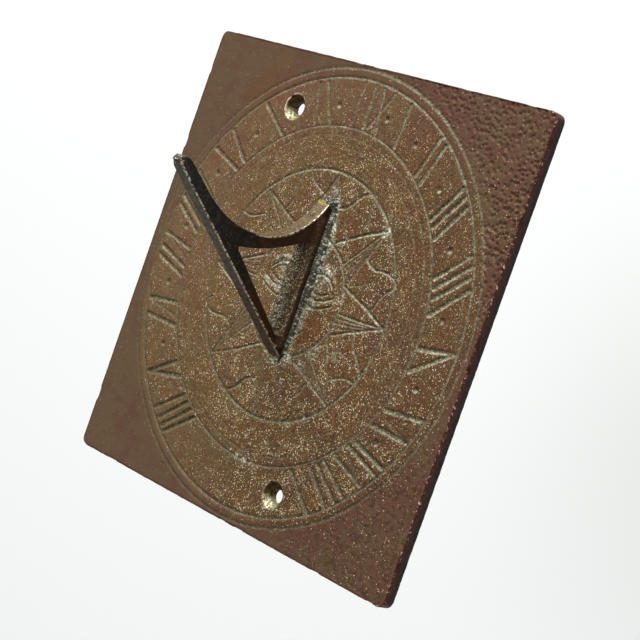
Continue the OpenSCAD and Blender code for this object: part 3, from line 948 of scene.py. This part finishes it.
class Finish:
    # one node material and the colour built up in it so far, with short calls for its nodes
    def __init__(self, name, tones):
        self.tones = tones
        self.material = bpy.data.materials.new(name)
        self.material.use_nodes = True
        self.tree = self.material.node_tree
        self.tree.nodes.clear()
        self.shader = self.add("ShaderNodeBsdfPrincipled")
        output = self.add("ShaderNodeOutputMaterial")
        self.feed(output.inputs["Surface"], self.shader.outputs["BSDF"])
        self.coords = self.add("ShaderNodeTexCoord").outputs["Object"]
        parts = self.add("ShaderNodeSeparateXYZ")
        self.feed(parts.inputs["Vector"], self.coords)
        self.place = parts.outputs
        self.colour = None

    def add(self, kind, **settings):
        node = self.tree.nodes.new(kind)
        for key, value in settings.items():
            setattr(node, key, value)
        return node

    def feed(self, socket, value):
        # the value is a plain number, the name of one of the tones, or another node's output
        if isinstance(value, str):
            socket.default_value = self.tones[value]
        elif isinstance(value, (int, float)):
            socket.default_value = value
        else:
            self.tree.links.new(value, socket)

    def noise(self, size, detail, rough):
        # size is the width of a lump in mm
        node = self.add("ShaderNodeTexNoise")
        self.feed(node.inputs["Vector"], self.coords)
        self.feed(node.inputs["Scale"], 1 / (size * mm))
        self.feed(node.inputs["Detail"], detail)
        self.feed(node.inputs["Roughness"], rough)
        return node.outputs["Fac"]

    def band(self, value, low, high, toLow=0.0, toHigh=1.0):
        # a soft step of the value from low to high
        node = self.add("ShaderNodeMapRange", interpolation_type="SMOOTHSTEP")
        sockets = ("Value", "From Min", "From Max", "To Min", "To Max")
        for socket, given in zip(sockets, (value, low, high, toLow, toHigh)):
            self.feed(node.inputs[socket], given)
        return node.outputs["Result"]

    def patchy(self, size, detail, rough, *steps):
        # noise drawn together into patches
        return self.band(self.noise(size, detail, rough), *steps)

    def across(self, axis, *steps):
        # a fade along one of the object's axes, in metres
        return self.band(self.place[axis], *steps)

    def amount(self, name):
        node = self.add("ShaderNodeAttribute", attribute_name=name, attribute_type="GEOMETRY")
        return node.outputs["Fac"]

    def maths(self, operation, *values):
        node = self.add("ShaderNodeMath", operation=operation)
        for socket, value in zip(node.inputs, values):
            self.feed(socket, value)
        return node.outputs[0]

    def chain(self, operation, first, *others):
        # the values taken together two at a time, or the value itself when there is only one
        for other in others:
            first = self.maths(operation, first, other)
        return first

    def times(self, *values):
        return self.chain("MULTIPLY", *values)

    def plus(self, *values):
        return self.chain("ADD", *values)

    def most(self, *values):
        return self.chain("MAXIMUM", *values)

    def specks(self, size, share, radius, grow=None):
        # round grains of about the given size in mm on the given share of places, a ring of painted shade
        # round each, and their dice
        node = self.add("ShaderNodeTexVoronoi", feature="F1")
        self.feed(node.inputs["Vector"], self.coords)
        self.feed(node.inputs["Scale"], 1 / (size * mm))
        dice = self.add("ShaderNodeSeparateColor")
        self.feed(dice.inputs["Color"], node.outputs["Color"])
        hit = self.band(self.maths("SUBTRACT", share, dice.outputs["Red"]), -0.02, 0.02)
        away = node.outputs["Distance"]
        if grow is not None:
            away = self.maths("SUBTRACT", away, grow)
        dot = self.band(away, radius + 0.08, radius - 0.08)
        rim = self.band(away, radius + 0.36, radius + 0.16)
        return self.times(hit, dot), self.times(hit, rim), dice.outputs["Green"]

    def blend(self, dataType, socketType, values):
        node = self.add("ShaderNodeMix", data_type=dataType)
        sockets = [s for s in node.inputs[1:] if s.type == socketType]
        for socket, value in zip([node.inputs[0], *sockets], values):
            self.feed(socket, value)
        return next(s for s in node.outputs if s.type == socketType)

    def mix(self, factor, first, second):
        return self.blend("RGBA", "RGBA", (factor, first, second))

    def mixValue(self, factor, first, second):
        return self.blend("FLOAT", "VALUE", (factor, first, second))

    def over(self, colour, tone, *factors):
        # the tone laid over a colour as strongly as the factors' product
        return self.mix(self.times(*factors), colour, tone)

    def coat(self, tone, *factors):
        self.colour = self.over(self.colour, tone, *factors)

    def close(self, metal, rough, *bumps):
        # joins everything to the shader, with each bump given as (size, detail, roughness, height in mm)
        normal = None
        for size, detail, grain, height in bumps:
            node = self.add("ShaderNodeBump")
            self.feed(node.inputs["Strength"], 1.0)
            self.feed(node.inputs["Distance"], height * mm)
            self.feed(node.inputs["Height"], self.noise(size, detail, grain))
            if normal is not None:
                self.feed(node.inputs["Normal"], normal)
            normal = node.outputs["Normal"]
        for socket, value in (("Base Color", self.colour), ("Metallic", metal), ("Roughness", rough),
                              ("Specular IOR Level", "specular"), ("Normal", normal)):
            self.feed(self.shader.inputs[socket], value)
        return self.material


plateBronze = {
    "olive": tone(113, 90, 64),
    "brown": tone(111, 83, 63),
    "redBrown": tone(110, 74, 60),
    "rust": tone(120, 70, 41),
    "warm": tone(128, 97, 47),
    "greyBrown": tone(86, 68, 46),
    "paintedShade": tone(50, 39, 33),
    "dark": tone(40, 24, 6),
    # a dark brown for the painted shade on the groove walls, and for flaws and the gaps between crumbs
    "shadeAndDirt": tone(44, 34, 18),
    "gold": tone(242, 212, 162),
    "glintGold": tone(255, 248, 226),
    "brass": tone(200, 194, 156),
    "sinkDark": tone(84, 70, 38),
    "verdigris": tone(84, 86, 60),
    "paleGreen": tone(160, 158, 128),
    "crust": tone(232, 232, 212),
    "side": tone(36, 30, 25),
    "sideRed": tone(70, 40, 30),
    "redArris": tone(84, 38, 34),
    "nick": tone(232, 196, 180),
    "metal": 0.28,
    "specular": 0.13,
}


def plateBronzeFinish():
    look = Finish("plate_bronze_patina", plateBronze)
    # olive in the west, redder in the east, in soft patches and finer mottling
    drift = look.plus(look.across("X", -0.075, 0.075, -0.12, 0.12), look.noise(22, 3, 0.55),
                      look.patchy(5.5, 4, 0.6, 0.3, 0.7, -0.16, 0.16))
    look.colour = look.mix(look.band(drift, 0.34, 0.54), "olive", "brown")
    look.coat("redBrown", look.band(drift, 0.52, 0.74))
    look.coat("rust", look.amount("ruddy"), 0.75)
    # painted shade over the corners, the east and the south
    look.coat("paintedShade", look.amount("paintedShade"), 0.34)
    rubbed = look.amount("rubbed")
    look.coat("greyBrown", look.patchy(2.4, 4, 0.65, 0.42, 0.66, 0.0, 0.45),
              look.band(rubbed, 0.0, 0.5, 0.35, 1.0))
    look.coat("warm", rubbed, look.patchy(7, 3, 0.6, 0.35, 0.65, 0.2, 0.6))
    # darker patches over the south-east, more of the same painted shade
    southEast = look.times(look.across("X", 0.0, 0.06), look.across("Y", 0.0, -0.04))
    look.coat("paintedShade", look.patchy(1.5, 3, 0.65, 0.48, 0.62, 0.0, 0.5), southEast)
    # dark pinholes and rubbed grains of bare metal, the palest of them near white as a painted glint
    coarse = look.times(look.amount("coarse"), 0.06)
    look.coat("dark", look.patchy(0.42, 2, 0.6, 0.56, 0.42, 0.0, 0.6), look.band(rubbed, 0.0, 0.5, 0.1, 1.0),
              look.across("X", -0.06, 0.02, 0.3, 1.0))
    hole = look.specks(0.40, look.band(rubbed, 0.0, 1.0, 0.0, 0.32), 0.38, coarse)[0]
    look.coat("dark", hole, 0.9)
    thick = look.times(rubbed, look.patchy(5.0, 3, 0.6, 0.38, 0.66, 0.05, 0.30))
    speck, shadeRing, chance = look.specks(0.38, thick, 0.38, coarse)
    # a ring of painted shade round each grain
    look.coat("dark", shadeRing, 0.7)
    fine = look.specks(0.27, thick, 0.38)[0]
    speck = look.most(speck, look.times(fine, 0.6))
    look.coat(look.mix(look.band(chance, 0.35, 0.9), "gold", "glintGold"), speck)
    # grooves: verdigris on the floor, a pale painted highlight on the wall towards the light and painted
    # shade on the other wall
    green = look.times(look.amount("verdigris"), look.patchy(1.6, 4, 0.65, 0.34, 0.60, 0.3, 1.0))
    dusty = look.plus(look.noise(0.6, 3, 0.65), look.across("X", -0.04, 0.04, -0.03, 0.03),
                      look.across("Y", -0.05, 0.0, -0.07, 0.0))
    look.coat(look.mix(look.band(dusty, 0.47, 0.58), "verdigris", "paleGreen"), green)
    look.coat("shadeAndDirt", look.amount("paintedShadeWall"), look.patchy(1.3, 3, 0.6, 0.36, 0.62, 0.1, 0.7))
    pale = look.times(look.amount("paintedLitWall"), look.patchy(0.9, 4, 0.7, 0.40, 0.54, 0.1, 0.95),
                      look.patchy(4.0, 3, 0.6, 0.36, 0.60, 0.4, 1.0),
                      look.across("Y", -0.055, 0.0, 0.3, 1.0), look.across("X", -0.06, 0.01, 0.5, 1.0))
    look.coat(look.mix(look.patchy(0.5, 3, 0.6, 0.48, 0.62), "paleGreen", "crust"), pale)
    flaw = look.specks(0.5, look.times(look.amount("groove"), 0.46), 0.38)[0]
    look.coat("shadeAndDirt", flaw, 0.7)
    # crusts break up into pale crumbs with dark gaps
    crust = look.amount("crust")
    look.coat("shadeAndDirt", crust, look.patchy(0.8, 3, 0.6, 0.50, 0.38), 0.8)
    look.coat("crust", crust, look.patchy(0.7, 3, 0.65, 0.49, 0.56), 0.9)
    # the worn crests of the face in the middle
    crestTone = look.mix(look.patchy(0.6, 3, 0.6, 0.44, 0.56), "paleGreen", "crust")
    look.coat(crestTone, look.amount("crest"), look.patchy(0.8, 4, 0.7, 0.46, 0.55, 0.0, 0.9))
    # outer sides, reddish above and near black below, with a dark red arris and pinkish nicks
    look.coat(look.mix(look.across("Z", 0.0005, 0.0036), "side", "sideRed"), look.amount("outerSide"))
    arris = look.amount("edgeWear")
    look.coat("redArris", arris, 0.6)
    nick = look.times(look.band(arris, 0.4, 0.9), look.patchy(1.0, 4, 0.75, 0.57, 0.62))
    look.coat("nick", nick)
    # dark countersinks, with bright streaks on their south walls that are scrapes and a painted highlight
    # together, and a bright line round the mouth
    sink = look.amount("countersink")
    look.coat("sinkDark", sink)
    look.coat("dark", sink, look.patchy(1.2, 4, 0.7, 0.56, 0.46, 0.0, 0.8))
    scrapeAndHighlight = look.times(look.amount("scrapedAndLit"), look.patchy(0.8, 4, 0.75, 0.44, 0.54, 0.15, 1.0))
    look.coat("brass", scrapeAndHighlight)
    rim = look.times(look.amount("rim"), look.patchy(1.4, 3, 0.6, 0.38, 0.54))
    look.coat("nick", rim)
    bare = look.most(speck, nick, rim, scrapeAndHighlight)
    crusted = look.most(green, pale)
    metal = look.mixValue(crusted, look.mixValue(bare, "metal", 0.5), 0.0)
    rough = look.mixValue(bare, look.patchy(1.8, 3, 0.6, 0.3, 0.7, 0.44, 0.60), 0.36)
    rough = look.mixValue(crusted, rough, 0.8)
    return look.close(metal, rough, (0.5, 3, 0.6, 0.10), (1.2, 3, 0.55, 0.10))


gnomonBronze = {
    "black": tone(24, 21, 20),
    "redBrown": tone(62, 34, 18),
    "railBounceBrown": tone(104, 74, 46),
    "railTop": tone(92, 76, 50),
    "tan": tone(112, 88, 58),
    "brass": tone(172, 152, 76),
    "styleBrown": tone(84, 62, 48),
    "grey": tone(82, 76, 66),
    "greyGreen": tone(92, 90, 70),
    "pale": tone(206, 192, 150),
    "white": tone(226, 222, 204),
    "nick": tone(240, 226, 200),
    "glint": tone(120, 128, 140),
    "dark": tone(30, 24, 16),
    "specular": 0.4,
}


def gnomonBronzeFinish():
    look = Finish("gnomon_bronze_patina", gnomonBronze)
    # red-brown at the foot, a lighter brown along the rail as painted light for light bounced up from the
    # plate and the solder, near black above, mottled and specked
    uneven = look.patchy(9, 3, 0.6, 0.3, 0.7, -0.008, 0.008)
    high = look.band(look.plus(look.place["Z"], uneven), 0.022, 0.036)
    railZone = look.amount("rail")
    look.colour = look.mix(railZone, "redBrown", "railBounceBrown")
    look.coat("black", high)
    look.coat("grey", look.patchy(2.2, 4, 0.65, 0.48, 0.72, 0.0, 0.45))
    speck = look.specks(0.5, look.plus(0.08, look.times(railZone, 0.35)), 0.32)[0]
    look.coat(look.mix(railZone, "tan", "pale"), speck, 0.7)
    # grey-green worn style
    style = look.amount("styleFace")
    styleTone = look.mix(look.patchy(2.6, 4, 0.65, 0.40, 0.60), "grey", "greyGreen")
    lowDown = look.band(look.plus(look.place["Z"], look.times(uneven, 1.2)), 0.048, 0.020)
    styleTone = look.over(styleTone, "styleBrown", lowDown, 0.85)
    styleTone = look.over(styleTone, "dark", look.patchy(1.1, 4, 0.65, 0.40, 0.54, 0.75, 0.0))
    look.coat(styleTone, style)
    # the rail's rough top, brown with pale grains, crusted pale near the foot, and darkened towards the north
    # by a painted shadow under the arch
    rail = look.amount("railTop")
    spill = look.amount("spill")
    railTone = look.mix(look.patchy(0.9, 4, 0.7, 0.40, 0.56), "dark", "railTop")
    railTone = look.over(railTone, "greyGreen", spill, 0.6)
    railTone = look.over(railTone, "dark", look.patchy(0.7, 3, 0.65, 0.46, 0.40, 0.0, 0.7))
    # painted shadow under the arch at the rail's north end
    railTone = look.over(railTone, "dark", look.across("Y", 0.010, 0.026, 0.0, 0.45))
    # the east edge of the rail's top takes the same lighter brown of painted bounce light
    railTone = look.over(railTone, "railBounceBrown", look.across("X", 0.0, 0.002, 0.0, 0.8))
    crumb, shadeRing, chance = look.specks(0.46, look.plus(0.46, look.times(spill, 0.2)), 0.38)
    # a ring of painted shade round each crumb
    railTone = look.over(railTone, "dark", shadeRing, 0.5)
    crumbTone = look.mix(look.times(spill, look.band(chance, 0.3, 0.6)), "pale", "white")
    look.coat(look.over(railTone, crumbTone, crumb, 0.9), rail)
    # the curved back, tan like the plate, with brass showing where it runs out at the toe
    backTone = look.mix(look.patchy(1.0, 4, 0.7, 0.40, 0.60), "railTop", "tan")
    grain, shadeRing = look.specks(0.44, 0.4, 0.34)[:2]
    # a ring of painted shade round each grain
    backTone = look.over(backTone, "dark", shadeRing, 0.5)
    backTone = look.over(backTone, "pale", grain, 0.8)
    toe = look.times(look.across("Z", 0.0066, 0.0060), look.patchy(1.0, 4, 0.7, 0.42, 0.54))
    look.coat(look.over(backTone, "brass", toe), look.amount("backTop"))
    # curly bluish glints on the horn and bright grains over its nose
    curl = look.maths("ABSOLUTE", look.maths("SUBTRACT", look.noise(3.4, 2, 0.5), 0.5))
    look.coat("glint", look.band(curl, 0.016, 0.005), look.patchy(7.0, 2, 0.5, 0.54, 0.62), high, 0.5)
    nose = look.amount("nose")
    look.coat("styleBrown", nose, look.patchy(1.6, 4, 0.65, 0.40, 0.58, 0.1, 0.7))
    grain = look.specks(0.5, look.times(nose, 0.4), 0.36)[0]
    look.coat("nick", grain, 0.9)
    # worn arrises with small bright nicks
    wear = look.amount("edgeWear")
    rub = look.times(look.band(wear, 0.30, 0.75), look.patchy(1.5, 4, 0.7, 0.38, 0.58))
    look.coat("tan", rub, 0.5)
    nick = look.times(look.band(wear, 0.40, 0.75), look.patchy(0.9, 4, 0.75, 0.48, 0.54))
    look.coat("nick", nick)
    metal = look.mixValue(look.most(look.times(rub, 0.6), nick), 0.2, 0.9)
    rough = look.mixValue(look.most(rail, style), look.patchy(2.0, 3, 0.6, 0.3, 0.7, 0.32, 0.52), 0.62)
    rough = look.mixValue(nick, rough, 0.28)
    return look.close(metal, rough, (0.6, 3, 0.6, 0.09), (2.0, 3, 0.6, 0.18))


solderTones = {
    "grey": tone(86, 82, 66),
    "blue": tone(66, 65, 57),
    "dark": tone(34, 29, 18),
    "green": tone(84, 80, 60),
    "pale": tone(236, 234, 214),
    "specular": 0.3,
}


def solderFinish():
    look = Finish("solder_grey_green", solderTones)
    # a smooth grey ridge inside, then a margin of pale crumbs with dark gaps
    look.colour = look.mix(look.patchy(2.6, 4, 0.65, 0.40, 0.62), "grey", "blue")
    pinhole = look.specks(0.5, 0.4, 0.38)[0]
    look.coat("dark", pinhole, 0.7)
    glint, shadeRing = look.specks(0.46, 0.36, 0.36)[:2]
    # a ring of painted shade round each glint
    look.coat("dark", shadeRing, 0.6)
    look.coat("pale", glint, 0.9)
    margin = look.amount("margin")
    crest = look.amount("crest")
    creviceShade = look.amount("creviceShade")
    look.coat("green", margin, 0.7)
    look.coat("dark", look.band(margin, 0.0, 1.0, 0.0, 0.45), look.band(crest, 0.40, 0.20))
    crumb = look.times(look.band(crest, 0.54, 0.76), look.patchy(0.6, 4, 0.7, 0.46, 0.56))
    look.coat("pale", crumb, look.band(margin, 0.0, 1.0, 0.1, 1.0), 0.75)
    # painted shade along the crevice against the gnomon
    look.coat("dark", creviceShade)
    shine = look.times(look.band(margin, 1.0, 0.0), look.band(creviceShade, 0.5, 0.0))
    return look.close(look.mixValue(shine, 0.0, 0.1), look.mixValue(shine, 0.75, 0.5), (0.6, 4, 0.65, 0.2))


studio = {
    "lens": 100.78,
    "sensor": 36.0,
    "cameraAt": (0.401426, 0.021700, 0.395094),
    "cameraRight": (0.6584783, 0.3319614, -0.6754317),
    "cameraDown": (0.2678670, -0.9420708, -0.2018659),
    "cameraAhead": (-0.7033161, -0.0480015, -0.7092547),
    "skyBright": 0.60,   # from the lit side
    "skyDim": 0.22,      # from the other side
    "skyTurn": -0.7,     # how far round from the lit side the sky is dimmest
    "litSide": (-0.2, 0.87, 0.45),
    "skyColour": (1.0, 1.0, 1.0, 1.0),
    "floorColour": (0.81, 0.83, 0.83, 1.0),
    "floorRough": 0.9,
    "floorHalf": 6.0,
    "floorDrop": 0.25,   # how far the floor lies below the plate's back
    "lamps": {
        "north_softbox": {"at": (-0.45, 1.75, 1.15), "size": 1.3, "power": 50, "colour": (1.0, 0.99, 0.97)},
        "overhead_softbox": {"at": (-0.3, 0.1, 2.2), "size": 1.6, "power": 14, "colour": (1.0, 1.0, 1.0)},
    },
}


def makeStudio():
    scene = bpy.context.scene
    data = bpy.data.cameras.new("camera")
    data.lens = studio["lens"]
    data.sensor_width = studio["sensor"]
    data.clip_start, data.clip_end = 0.01, 50.0
    camera = addObject("camera", data)
    right = Vector(studio["cameraRight"])
    up = -Vector(studio["cameraDown"])
    back = -Vector(studio["cameraAhead"])
    turn = Matrix((right, up, back)).transposed().to_4x4()
    camera.matrix_world = Matrix.Translation(Vector(studio["cameraAt"])) @ turn
    scene.camera = camera
    # an even sky, brighter on the lit side
    world = bpy.data.worlds.new("soft_sky")
    world.use_nodes = True
    nodes, links = world.node_tree.nodes, world.node_tree.links
    sky = nodes["Background"]
    sky.inputs["Color"].default_value = studio["skyColour"]
    facing = nodes.new("ShaderNodeVectorMath")
    facing.operation = "DOT_PRODUCT"
    facing.inputs[1].default_value = studio["litSide"]
    links.new(nodes.new("ShaderNodeTexCoord").outputs["Generated"], facing.inputs[0])
    fade = nodes.new("ShaderNodeMapRange")
    fade.inputs["From Min"].default_value = studio["skyTurn"]
    fade.inputs["To Min"].default_value = studio["skyDim"]
    fade.inputs["To Max"].default_value = studio["skyBright"]
    links.new(facing.outputs["Value"], fade.inputs["Value"])
    links.new(fade.outputs["Result"], sky.inputs["Strength"])
    scene.world = world
    for name, lamp in studio["lamps"].items():
        light = bpy.data.lights.new(name, "AREA")
        light.shape = "DISK"
        light.size = lamp["size"]
        light.energy = lamp["power"]
        light.color = lamp["colour"]
        holder = addObject(name, light)
        holder.location = lamp["at"]
        holder.rotation_mode = "QUATERNION"
        holder.rotation_quaternion = (-Vector(lamp["at"])).to_track_quat("-Z", "Y")
    bm = bmesh.new()
    bmesh.ops.create_grid(bm, x_segments=1, y_segments=1, size=studio["floorHalf"])
    bmesh.ops.translate(bm, vec=(0, 0, -studio["floorDrop"]), verts=bm.verts[:])
    floor = pieceFrom(bm, "studio_floor")
    white = bpy.data.materials.new("studio_white")
    white.use_nodes = True
    shader = white.node_tree.nodes["Principled BSDF"]
    shader.inputs["Base Color"].default_value = studio["floorColour"]
    shader.inputs["Roughness"].default_value = studio["floorRough"]
    floor.data.materials.append(white)
    scene.view_settings.view_transform = "Standard"
    print("studio ready")


makeStudio()
bronze = plateBronzeFinish()
for piece in (makeBand(numeralBand), makeBand(innerBand), makeMedallion(), makeCornerField()):
    piece.data.materials.append(bronze)
    settle(piece, ["dial_plate"])
gnomonPiece = recast("gnomon", gnomonCast)
gnomonPiece.data.materials.append(gnomonBronzeFinish())
settle(gnomonPiece, ["gnomon"])
solderPiece = makeSolder()
solderPiece.data.materials.append(solderFinish())
settle(solderPiece, ["solder_run"])
